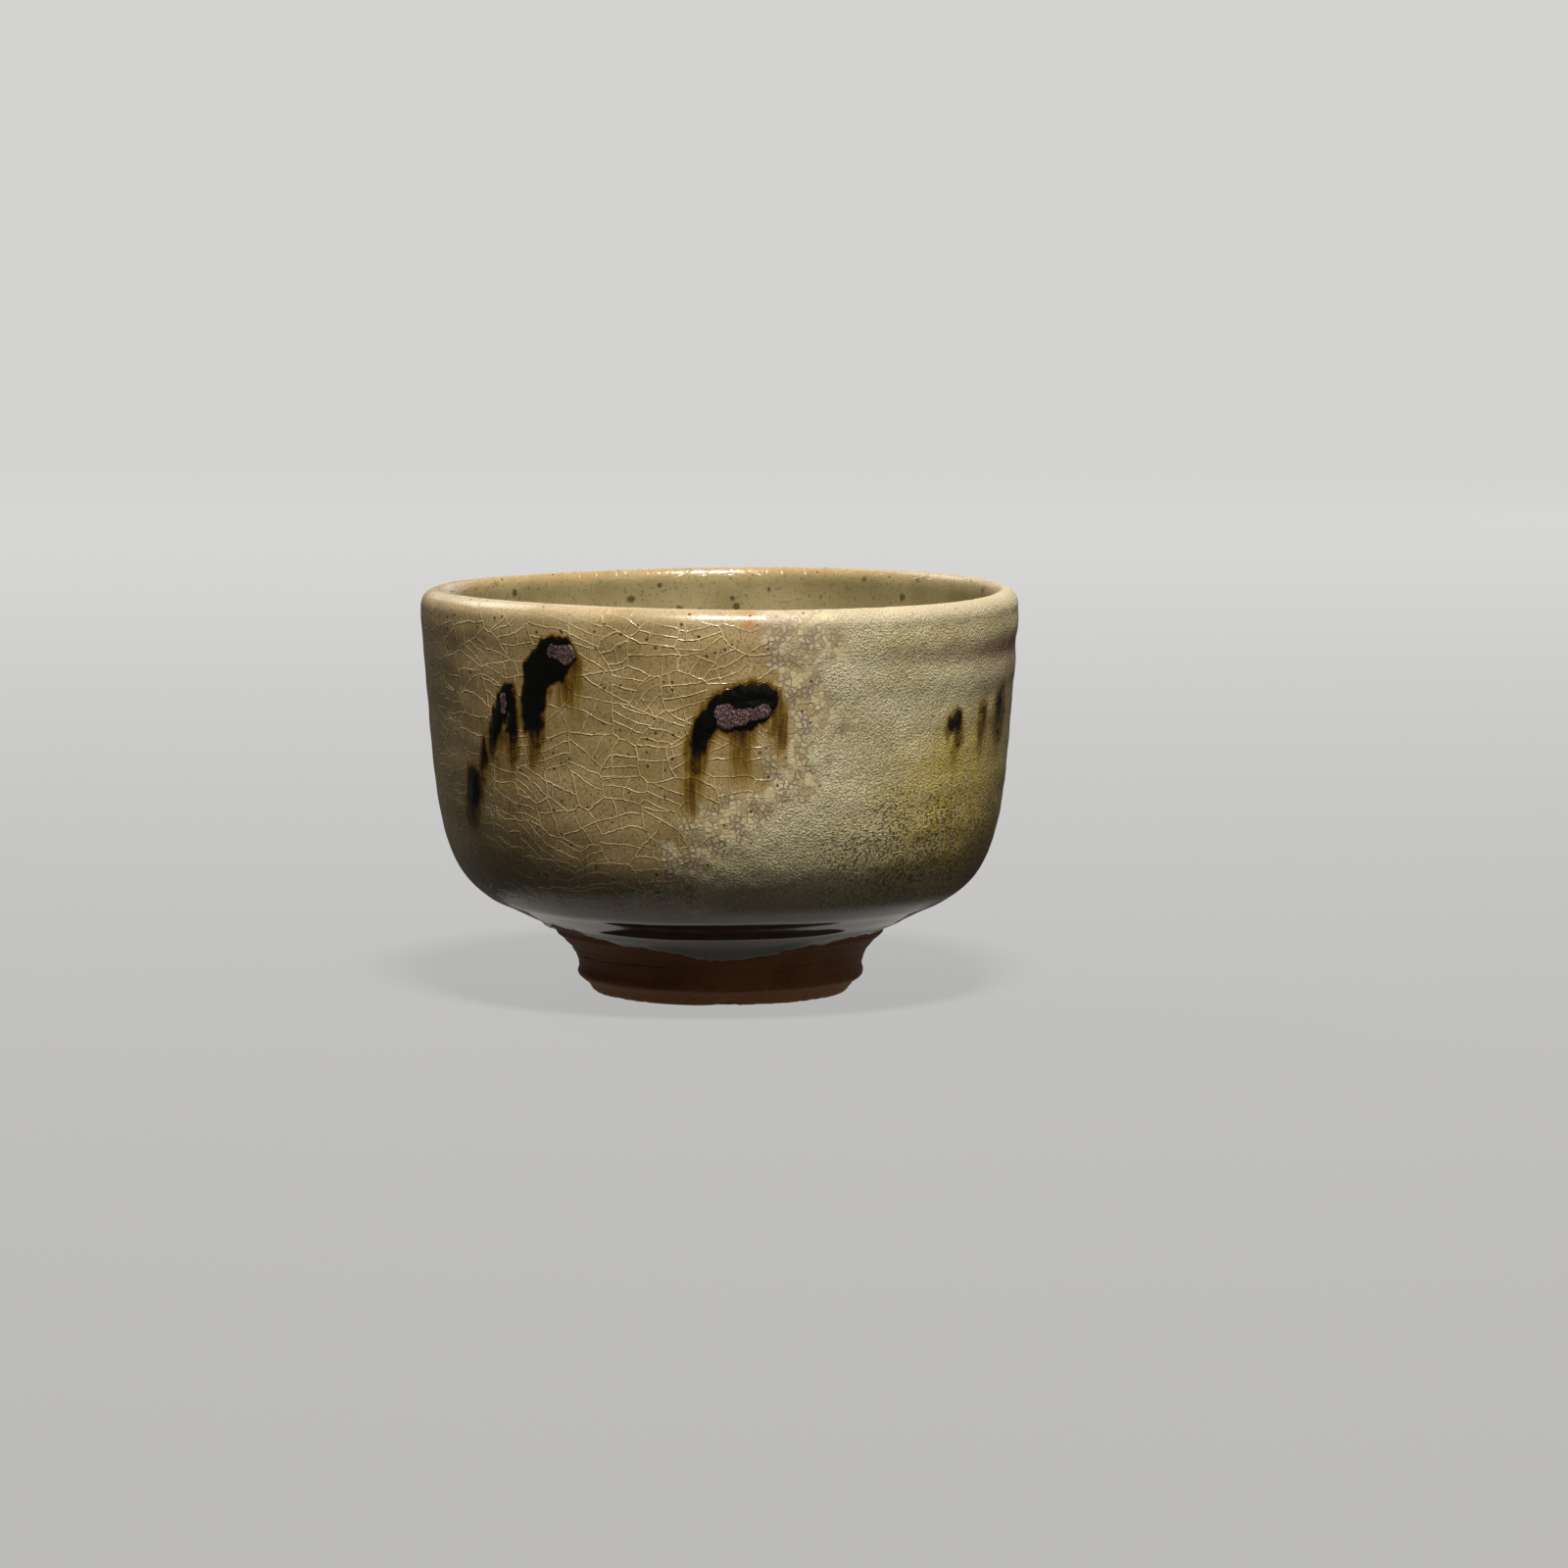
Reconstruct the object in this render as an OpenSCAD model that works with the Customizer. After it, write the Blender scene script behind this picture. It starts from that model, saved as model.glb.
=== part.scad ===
// Matcha bowl: a thrown tea bowl on a trimmed ring foot, with its coats of glaze and its daubs of iron glaze.
// The bowl stands on z = 0, its axis is the Z axis, and its front faces -Y. Units are millimetres.

/* [Bowl] */
// Diameter across the rim, at the widest part of the rolled lip
rim_d = 120.4; // [116:0.2:126]
// Height from the foot's base to the crest of the lip
bowl_h = 81.4; // [79:0.2:86]
// Thickness of the wall, glaze included
wall_t = 5; // [4.6:0.1:5.8]
// Half the thickness of the rolled lip on its outer side, and its height over its centre
lip_r = 3.2; // [2.8:0.1:3.6]
// Height of the inside of the floor at the centre
floor_z = 15.5; // [14.5:0.1:17]

/* [Foot] */
// Diameter of the ring that stands on the table
foot_d = 51.6; // [50:0.2:53]
// Diameter of the foot's neck, over the step
neck_d = 57.2; // [57:0.2:58.4]
// Diameter of the hollow under the foot, at its mouth
hollow_d = 41; // [38:0.2:43]
// Depth of the hollow under the foot
hollow_z = 8; // [7:0.1:8.6]

/* [Glaze] */
// Thickness of the outer coat
glaze_t = 0.7; // [0.5:0.05:0.9]
// Thickness of the inner coat
inner_t = 0.5; // [0.4:0.05:0.7]
// Thickness of an iron daub over the outer coat
iron_t = 0.35; // [0.2:0.05:0.5]
// Thickness of a mauve patch over its daub
mauve_t = 0.15; // [0.1:0.05:0.2]

/* [Hidden] */
$fn = 96;
rim_r = rim_d / 2;
crest_r = rim_r - lip_r;
lip_z = bowl_h - lip_r;
// The three coats meet on a level ring just under the lip's roll
seam_z = lip_z - 1;
in_r = rim_r - wall_t;
wall_steps = 20;
floor_steps = 8;
lip_steps = 8;

// A cubic Bezier curve and its unit normal, to the right of the way it runs
function bezier(p, t) = pow(1 - t, 3) * p[0] + 3 * pow(1 - t, 2) * t * p[1]
    + 3 * (1 - t) * t * t * p[2] + pow(t, 3) * p[3];
function bezier_way(p, t) = pow(1 - t, 2) * (p[1] - p[0]) + 2 * (1 - t) * t * (p[2] - p[1])
    + t * t * (p[3] - p[2]);
function right_of(way) = [way[1], -way[0]] / norm(way);
function curve(p, steps, inset) = [for (i = [0:steps])
    bezier(p, i / steps) - inset * right_of(bezier_way(p, i / steps))];
function flipped(list) = [for (i = [len(list) - 1:-1:0]) list[i]];

// Outside of the wall: a slanted underside, a round hip, and a wall that leans out a little
hip_start = [rim_r - 14.7, 18.9];
wall_top = [rim_r, bowl_h - 6.4];
wall = [hip_start, hip_start + [13.1, 6.3], [rim_r - 2.95, 42], wall_top];

// Inside of the floor: a shallow dish from the centre to the wall
function dish(inset) = let (rim = curve(wall, 1, wall_t - inset)[0])
    [[0, floor_z - inset], [15, floor_z - inset], [rim[0] - 10.9, rim[1] - 5.25], rim];

// The foot's flare is a parabola that starts at the neck and ends where the glaze begins
neck_z = 5;
flare_rate = 0.09;
glaze_edge_z = 12;
function flare_r(z) = neck_d / 2 + flare_rate * pow(max(0, z - neck_z), 2);
function flare(z0, z1, steps) = [for (i = [0:steps])
    let (z = z0 + (z1 - z0) * i / steps) [flare_r(z), z]];
glaze_edge = [flare_r(glaze_edge_z), glaze_edge_z];
bead = glaze_edge + [0.75, 0.35];
// Where the flare runs out into the slanted underside
under_start = hip_start - [9.1, 4.5];

// The lip, from its outer side over the crest to its inner side, with its skin taken off to a depth
function lip(skin_out, skin_in) = concat(
    [[rim_r - skin_out, seam_z]],
    [for (i = [0:lip_steps]) let (a = 90 * i / lip_steps)
        [crest_r + (lip_r - skin_out) * cos(a), lip_z + (lip_r - skin_out) * sin(a)]],
    [for (i = [1:lip_steps]) let (a = 90 + 90 * i / lip_steps)
        [crest_r + (crest_r - in_r - skin_in) * cos(a), lip_z + (lip_r - skin_out) * sin(a)]],
    [[in_r + skin_in, seam_z]]);

// Surfaces that two pieces share: each is one list of points, so that the pieces meet face to face
clay_side = concat(
    [glaze_edge, bead + [-0.3, 0.55], under_start + glaze_t * [-0.44, 0.9]],
    curve(wall, wall_steps, glaze_t),
    [[rim_r - glaze_t, seam_z]]);
glaze_side = concat(
    [glaze_edge, bead, under_start],
    curve(wall, wall_steps, 0),
    [[rim_r, seam_z]]);
function inside(skin) = concat(
    curve(dish(skin), floor_steps, 0),
    [for (i = [1:wall_steps]) curve(wall, wall_steps, wall_t - skin)[i]],
    [[in_r + skin, seam_z]]);

module clay_bowl() {
    clay_lip = lip(glaze_t, inner_t);
    color("saddlebrown") rotate_extrude() polygon(concat(
        [[0, hollow_z]],
        flare(hollow_z, glaze_edge_z, 5),
        [for (i = [1:len(clay_side) - 2]) clay_side[i]],
        clay_lip,
        flipped([for (i = [0:len(inside(inner_t)) - 2]) inside(inner_t)[i]])));
}

module foot_ring() {
    foot_r = foot_d / 2;
    mouth_r = hollow_d / 2;
    color("sienna") rotate_extrude() polygon(concat(
        [[mouth_r + 0.7, 0], [foot_r - 0.5, 0], [foot_r, 0.5], [foot_r + 1.1, 2]],
        [[neck_d / 2 - 0.3, 3], [neck_d / 2, 3.4]],
        flare(neck_z, hollow_z, 3),
        [[mouth_r - 1, hollow_z], [mouth_r, 0.7]]));
}

module outer_glaze() {
    color("darkkhaki") rotate_extrude() polygon(concat(
        glaze_side,
        [for (i = [len(clay_side) - 1:-1:1]) clay_side[i]]));
}

module inner_glaze() {
    color("tan") rotate_extrude() polygon(concat(inside(inner_t), flipped(inside(0))));
}

module lip_glaze() {
    color("palegoldenrod") rotate_extrude() polygon(concat(lip(0, 0), flipped(lip(glaze_t, inner_t))));
}

// A layer that lies on the outer coat, from one height over it to another
module layer(low, high) {
    face = curve(wall, wall_steps, 0);
    rotate_extrude() polygon(concat(
        [for (p = face) p + [low, 0]],
        [for (p = flipped(face)) p + [high, 0]]));
}

// One chain of round spots and the straight bands that join them. A spot is its offset to the side,
// its depth under the lip's crest, and its radius. A band's corners stay inside its spots.
band_fill = 0.93;
module chain(spots) {
    for (s = spots)
        translate([s[0], bowl_h - s[1]]) circle(r = s[2]);
    for (i = [0:1:len(spots) - 2]) {
        a = [spots[i][0], bowl_h - spots[i][1]];
        b = [spots[i + 1][0], bowl_h - spots[i + 1][1]];
        side_a = band_fill * spots[i][2] * right_of(b - a);
        side_b = band_fill * spots[i + 1][2] * right_of(b - a);
        polygon([a + side_a, b + side_b, b - side_b, a - side_a]);
    }
}

// A daub is a piece of layer, cut out by its chains as seen from outside. The turn is counted from the
// front of the bowl towards +X.
module daub(turn, chains, low, high) {
    reach_in = 14;
    intersection() {
        layer(low, high);
        rotate([0, 0, turn]) translate([0, reach_in - rim_r, 0]) rotate([90, 0, 0])
            linear_extrude(reach_in + 2)
                for (spots = chains) chain(spots);
    }
}

module iron(turn, chains) {
    color([0.09, 0.07, 0.06]) daub(turn, chains, 0, iron_t);
}

module mauve(turn, chains) {
    color([0.42, 0.30, 0.34]) daub(turn, chains, iron_t, iron_t + mauve_t);
}

// The left group climbs to the right: a large headed daub, a forked one, a streak and a drop
left_1 = -33;
left_2 = -45;
left_3 = -51.3;
left_4 = -56.5;
module iron_left_1() iron(left_1, [
    [[1.5, 10.1, 4.5], [-2, 16.4, 3.7], [-3.7, 22.4, 2.9], [-4.2, 26.9, 1.7]]]);
module iron_left_2() iron(left_2, [
    [[2.4, 16.9, 1.5], [0.6, 20.4, 2.6], [-1.5, 25, 2], [-3.2, 29.3, 1]],
    [[1.8, 20.4, 1.8], [2.7, 26, 1.3], [3.2, 30.5, 0.8]]]);
module iron_left_3() iron(left_3, [[[0.3, 27.5, 0.4], [0, 30.5, 1.2], [-0.8, 33.8, 0.9]]]);
module iron_left_4() iron(left_4, [[[0.4, 35, 2.2], [-0.4, 39, 2.8], [-1, 42.6, 1.4]]]);
module mauve_left_1() mauve(left_1, [[[0.9, 9.3, 1.6], [3.2, 9.5, 1.9], [4, 10.6, 1.2]]]);
module mauve_left_2() mauve(left_2, [[[0, 18.9, 0.7], [0, 20.4, 0.8], [0.2, 22.2, 0.6]]]);

// The front daub is an arch with its left leg running down
front = 3;
module iron_front() iron(front, [
    [[8, 16.9, 1.7], [4.6, 16.3, 2.2], [0.5, 17.6, 3.4], [-3.4, 20.6, 2.6], [-5.8, 24, 2], [-7.2, 27.8, 1.4],
        [-7.7, 31, 0.8]],
    [[0.5, 20.4, 3.2], [4, 20.2, 2.4], [7, 18.9, 2.4]]]);
module mauve_front() mauve(front, [[[-1.4, 19.6, 2.3], [2, 20.3, 1.6], [5.4, 19.3, 1.7]]]);

// The right group is three small daubs on the matt side
right_1 = 52.7;
right_2 = 63;
right_3 = 72;
module iron_right_1() iron(right_1, [[[-1.2, 22.9, 1.5], [0.8, 22.4, 1.4], [1.3, 25.8, 0.8]]]);
module iron_right_2() iron(right_2, [[[0, 21.6, 1.1], [0, 26, 0.9]]]);
module iron_right_3() iron(right_3, [[[0.3, 20.6, 1.7], [-0.8, 24.4, 1.9], [-1.6, 27.3, 1]]]);

// The back carries an arch on each side and a pair that climbs between them
back_right = 120;
back_upper = 176;
back_lower = 167;
back_left = -110;
module iron_back_right() iron(back_right, [
    [[-6.5, 17.9, 1.6], [-2.8, 16.6, 2.4], [1, 17.6, 3], [4.2, 20.6, 2.3], [5.9, 24.6, 1.6],
        [6.4, 28.8, 0.8]]]);
module iron_back_upper() iron(back_upper, [
    [[1, 15.6, 4], [-1.6, 21.4, 3.3], [-2.8, 27, 2.4], [-3.1, 31.4, 1.2]]]);
module iron_back_lower() iron(back_lower, [
    [[1.4, 28.4, 1.4], [0.4, 31.6, 2.1], [-1, 36, 1.4], [-1.6, 39.4, 0.7]]]);
module iron_back_left() iron(back_left, [
    [[7.2, 15.8, 1.5], [3.8, 15.2, 2.1], [0, 16.7, 3.1], [-3.6, 20.2, 2.5], [-5.4, 25, 1.7],
        [-5.9, 29.4, 0.9]]]);
module mauve_back_right() mauve(back_right, [[[-2.4, 17, 1.4], [0.9, 18, 1.9]]]);
module mauve_back_upper() mauve(back_upper, [[[0.4, 15, 1.8], [1.8, 16, 1.5]]]);
module mauve_back_left() mauve(back_left, [[[3, 15.7, 1.2], [0, 17.2, 1.9]]]);

clay_bowl();
foot_ring();
outer_glaze();
inner_glaze();
lip_glaze();
iron_left_1();
iron_left_2();
iron_left_3();
iron_left_4();
iron_front();
iron_right_1();
iron_right_2();
iron_right_3();
iron_back_right();
iron_back_upper();
iron_back_lower();
iron_back_left();
mauve_left_1();
mauve_left_2();
mauve_front();
mauve_back_right();
mauve_back_upper();
mauve_back_left();
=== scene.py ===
import bmesh
import bpy
import numpy as np
from math import pi, radians
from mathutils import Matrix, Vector


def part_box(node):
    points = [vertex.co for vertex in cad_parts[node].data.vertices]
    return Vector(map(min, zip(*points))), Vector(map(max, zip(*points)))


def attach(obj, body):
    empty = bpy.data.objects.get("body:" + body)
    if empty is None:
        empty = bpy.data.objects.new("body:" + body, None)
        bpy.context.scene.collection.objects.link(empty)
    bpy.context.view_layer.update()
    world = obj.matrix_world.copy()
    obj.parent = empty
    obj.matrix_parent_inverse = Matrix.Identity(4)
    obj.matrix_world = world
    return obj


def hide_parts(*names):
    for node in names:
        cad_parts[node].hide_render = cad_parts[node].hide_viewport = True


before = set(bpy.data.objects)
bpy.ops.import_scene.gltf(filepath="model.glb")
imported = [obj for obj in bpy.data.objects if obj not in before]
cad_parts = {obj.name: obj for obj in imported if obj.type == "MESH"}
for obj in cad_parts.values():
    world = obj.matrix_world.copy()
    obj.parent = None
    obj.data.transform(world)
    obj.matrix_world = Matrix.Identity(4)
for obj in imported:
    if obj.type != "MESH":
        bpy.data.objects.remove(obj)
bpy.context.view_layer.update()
MM = 0.001  # metres in a millimetre; all sizes below are in mm
UV_MM = 100.0  # mm in one unit of the unrolled skin's UV map

# ---- the turned profile, read from the CAD rings

# How near, in mm, two points are one ring, rings of two nodes meet, and a ring lies on the clay
ONE_RING, MEET, ON_CLAY = 0.03, 0.04, 0.2
FINE_STEP = 0.1  # mm between the points of a fine path
FLARE_R = 29  # mm from the axis, just outside the clay's joint with the foot


def rings(node):
    """Every ring (radius, height) in mm of a turned CAD node."""
    x, y, z = np.array([v.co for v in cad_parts[node].data.vertices]).T / MM
    keep = []
    for p in np.unique(np.round(np.c_[np.hypot(x, y), z], 2), axis=0):
        if not any(np.hypot(*(p - q)) < ONE_RING for q in keep):
            keep.append(p)
    return np.array(keep)


def shared(a, b, wanted=True):
    """The rings of a that b has too, or, with wanted False, the rings that only a has."""
    near = np.array([np.hypot(*(b - p).T).min() < MEET for p in a])
    return a[near] if wanted else a[~near]


def along(points, step=FINE_STEP, smooth=True):
    """A fine path through the points, with one every step mm: a curve where smooth, or straight lines."""
    p = np.asarray(points, float)
    lengths = np.hypot(*np.diff(p, axis=0).T)
    padded = np.r_[p[:1], p, p[-1:]]
    slope = (padded[2:] - padded[:-2]) / (np.r_[0, lengths] + np.r_[lengths, 0])[:, None]
    out = []
    for i, length in enumerate(lengths):
        t = np.linspace(0, 1, max(2, int(length / step) + 1))[:-1, None]
        share = 3 * t**2 - 2 * t**3 if smooth else t
        piece = p[i] + share * (p[i + 1] - p[i])
        if smooth:
            piece += length * ((t**3 - 2 * t**2 + t) * slope[i] + (t**3 - t**2) * slope[i + 1])
        out.append(piece)
    return np.concatenate([*out, p[-1:]])


def eased(path, width):
    """The path with its corners rounded over a width in mm; its ends stay."""
    s = arc(path)
    t = np.linspace(0, s[-1], int(s[-1] / FINE_STEP) + 1)
    p = np.c_[np.interp(t, s, path[:, 0]), np.interp(t, s, path[:, 1])]
    n = int(width / FINE_STEP) // 2
    kernel = np.hanning(2 * n + 3)[1:-1]
    padded = np.r_[2 * p[0] - p[n:0:-1], p, 2 * p[-1] - p[-2:-n - 2:-1]]
    return np.c_[[np.convolve(padded[:, k], kernel / kernel.sum(), "valid") for k in (0, 1)]].T


def arc(path):
    """The distance along a path to each of its points."""
    return np.r_[0, np.cumsum(np.hypot(*np.diff(path, axis=0).T))]


def normals_of(path):
    """Unit normals to the right of the way the path runs."""
    way = np.gradient(path, axis=0)
    way /= np.linalg.norm(way, axis=1)[:, None]
    return np.c_[way[:, 1], -way[:, 0]]


def by_height(p):
    """The points from the lowest to the highest."""
    p = np.asarray(p)
    return p[np.argsort(p[:, 1], kind="stable")]


clay, coat = rings("clay_bowl"), rings("outer_glaze")
lining, roll = rings("inner_glaze"), rings("lip_glaze")
flare = clay[(clay[:, 1] <= coat[:, 1].min() + 0.01) & (clay[:, 0] > FLARE_R)]
clay_out = by_height(np.unique(np.r_[flare, shared(clay, coat)], axis=0))
COAT_T = roll[:, 0].max() - shared(clay, roll)[:, 0].max()
out_path = eased(along(clay_out), 3.0)
out_path = out_path + COAT_T * normals_of(out_path)
roll_skin = shared(roll, clay, False)
crest_r = roll_skin[np.argmax(roll_skin[:, 1]), 0]
roll_out = by_height(roll_skin[roll_skin[:, 0] >= crest_r])
roll_in = by_height(roll_skin[roll_skin[:, 0] < crest_r])[::-1]
roll_path = along(np.r_[roll_out, roll_in], 0.05)
bed = along(by_height(shared(clay, lining)), smooth=False)
lining_skin = [p for p in shared(lining, clay, False) if np.hypot(*(bed - p).T).min() > ON_CLAY]
lining_in = by_height(lining_skin)[::-1]
in_path = eased(along(lining_in), 6.0)
# The glaze's skin, from its lowest point outside, over the lip, to the middle of the floor. From here on, s
# is the distance along it in mm, and turn or t an angle round the bowl in degrees.
SKIN = np.r_[out_path[:-1], roll_path[:-1], in_path]
SKIN_S = arc(SKIN)
SKIN_NORMALS = normals_of(SKIN)
S_SEAM = SKIN_S[len(out_path) - 1]
S_IN = SKIN_S[len(out_path) + len(roll_path) - 2]
S_CREST = SKIN_S[np.argmax(SKIN[:, 1])]
S_END = SKIN_S[-1]
TOP = SKIN[:, 1].max()
ROUND = 2 * pi * roll[:, 0].max()
R_WALL = roll[:, 0].max() - 1.4
out_rows = SKIN_S <= S_SEAM


def s_at(z):
    """The distance along the skin of a height on the outer side."""
    return np.interp(z, SKIN[out_rows, 1], SKIN_S[out_rows])


def z_at(s):
    """The height of a distance along the skin."""
    return np.interp(s, SKIN_S, SKIN[:, 1])


# ---- random fields that close round the bowl

ROWS, COLS, CELL = 1024, 2048, 0.25  # rows along the skin, columns round the bowl, and mm from row to row


def field(seed, size, tall=1.0):
    """A random field over the skin, about 1 high, with lumps size mm wide and tall times as tall."""
    rng = np.random.default_rng(seed)
    raw = np.fft.rfft2(rng.standard_normal((ROWS, COLS)))
    fy = np.fft.fftfreq(ROWS, CELL)[:, None] * size * tall
    fx = np.fft.rfftfreq(COLS, ROUND / COLS)[None, :] * size
    f2 = fx**2 + fy**2
    out = np.fft.irfft2(raw * np.exp(-f2 * 2.2) * np.sqrt(np.minimum(1, f2 * 8)), s=(ROWS, COLS))
    return out / out.std()


def pick(f, turn, s):
    """The field's value at an angle in degrees and a distance along the skin."""
    x = (np.asarray(turn) / 360 % 1) * COLS
    y = np.clip(np.asarray(s) / CELL, 0, ROWS - 2)
    x0, y0 = np.floor(x).astype(int), np.floor(y).astype(int)
    u, v = x - x0, y - y0
    x0, x1 = x0 % COLS, (x0 + 1) % COLS
    return ((1 - u) * (1 - v) * f[y0, x0] + u * (1 - v) * f[y0, x1]
            + (1 - u) * v * f[y0 + 1, x0] + u * v * f[y0 + 1, x1])


BROAD, PALM, FINGER = field(1, 60), field(2, 22), field(3, 9)
GRAIN, FINE = field(4, 1.3), field(5, 3.2)
STREAK, THREAD = field(6, 1.6, 9), field(7, 0.8, 14)
EDGE = field(8, 1.2)


def ease(a, b, x):
    """From 0 at a to 1 at b, with soft ends; a may be the greater."""
    t = np.clip((np.asarray(x, float) - a) / (b - a), 0, 1)
    return t * t * (3 - 2 * t)


def hump(x, middle, width):
    """A bell curve, 1 at its middle."""
    return np.exp(-((x - middle) / width) ** 2)


def window(turn, start, full, still, end):
    """From 0 at start to 1 at full, and back from 1 at still to 0 at end, as angles."""
    return ease(start, full, turn) * ease(end, still, turn)


def signed(turn):
    """The same angle, from -180 to 180."""
    return (np.asarray(turn, float) + 180) % 360 - 180


def round_table(turn, table):
    """A value round the bowl, smoothly between (angle, value) pairs."""
    t = np.array(sorted(table), float)
    a = np.r_[t[:, 0] - 360, t[:, 0], t[:, 0] + 360]
    b = np.tile(t[:, 1], 3)
    turn = signed(turn)
    i = np.clip(np.searchsorted(a, turn) - 1, 0, len(a) - 2)
    u = (turn - a[i]) / (a[i + 1] - a[i])
    return b[i] + (b[i + 1] - b[i]) * (u * u * (3 - 2 * u))


# ---- where each thing lies on the bowl

# Angles, in degrees, are 0 at the front and grow to the right; heights are in mm over the foot's base
FOOT_FADE = (20, 27)  # the relief of the wall starts between these heights
LIP_FADE = (82, 78)  # and the dry glaze's grain ends between these
GROOVE_Z, SWELL_Z, LEDGE_Z, RUST_Z = 70.6, 66.0, 19.0, 79.6
RUST_TURN = 6

# Where the outer glaze ends over the foot, as (angle, height)
EDGE_Z = [(-59, 15.4), (-50, 14.9), (-46, 13.4), (-34, 11.7), (-26, 11.4), (-15, 11.0), (-7, 9.8), (2, 9.6),
          (10, 9.8), (20, 10.6), (24, 11.3), (35, 11.8), (43, 12.2), (51, 12.9), (72, 14.2), (95, 12.6),
          (118, 11.2), (140, 12.2), (162, 10.8), (-170, 11.9), (-146, 13.6), (-120, 12.0), (-96, 11.0),
          (-76, 13.2)]


def edge_s(turn):
    """Where the outer glaze ends over the foot, as a distance along the skin."""
    return s_at(round_table(turn, EDGE_Z) + 0.14 * pick(FINE, turn, 3.0))


# Where the crackled glaze turns dry, as (height, angle): right of the front, and somewhere round the back
DRY_FRONT = [(0, -6), (20, -8), (28, -10), (35, -9), (45, 5), (55, 14), (65, 13), (75, 12), (83, 12)]
DRY_BACK = [(0, 168), (25, 172), (45, 160), (60, 152), (83, 158)]


def dryness(turn, s):
    """Degrees past the border into the dry glaze, below 0 in the crackled glaze."""
    z = z_at(s)
    turn = signed(turn)
    a = np.interp(z, *np.array(DRY_FRONT, float).T)
    b = np.interp(z, *np.array(DRY_BACK, float).T)
    ragged = 3.5 * pick(FINGER, turn, s) + 1.5 * pick(FINE, turn, s)
    return np.minimum(turn - a, b - turn) + ragged


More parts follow.
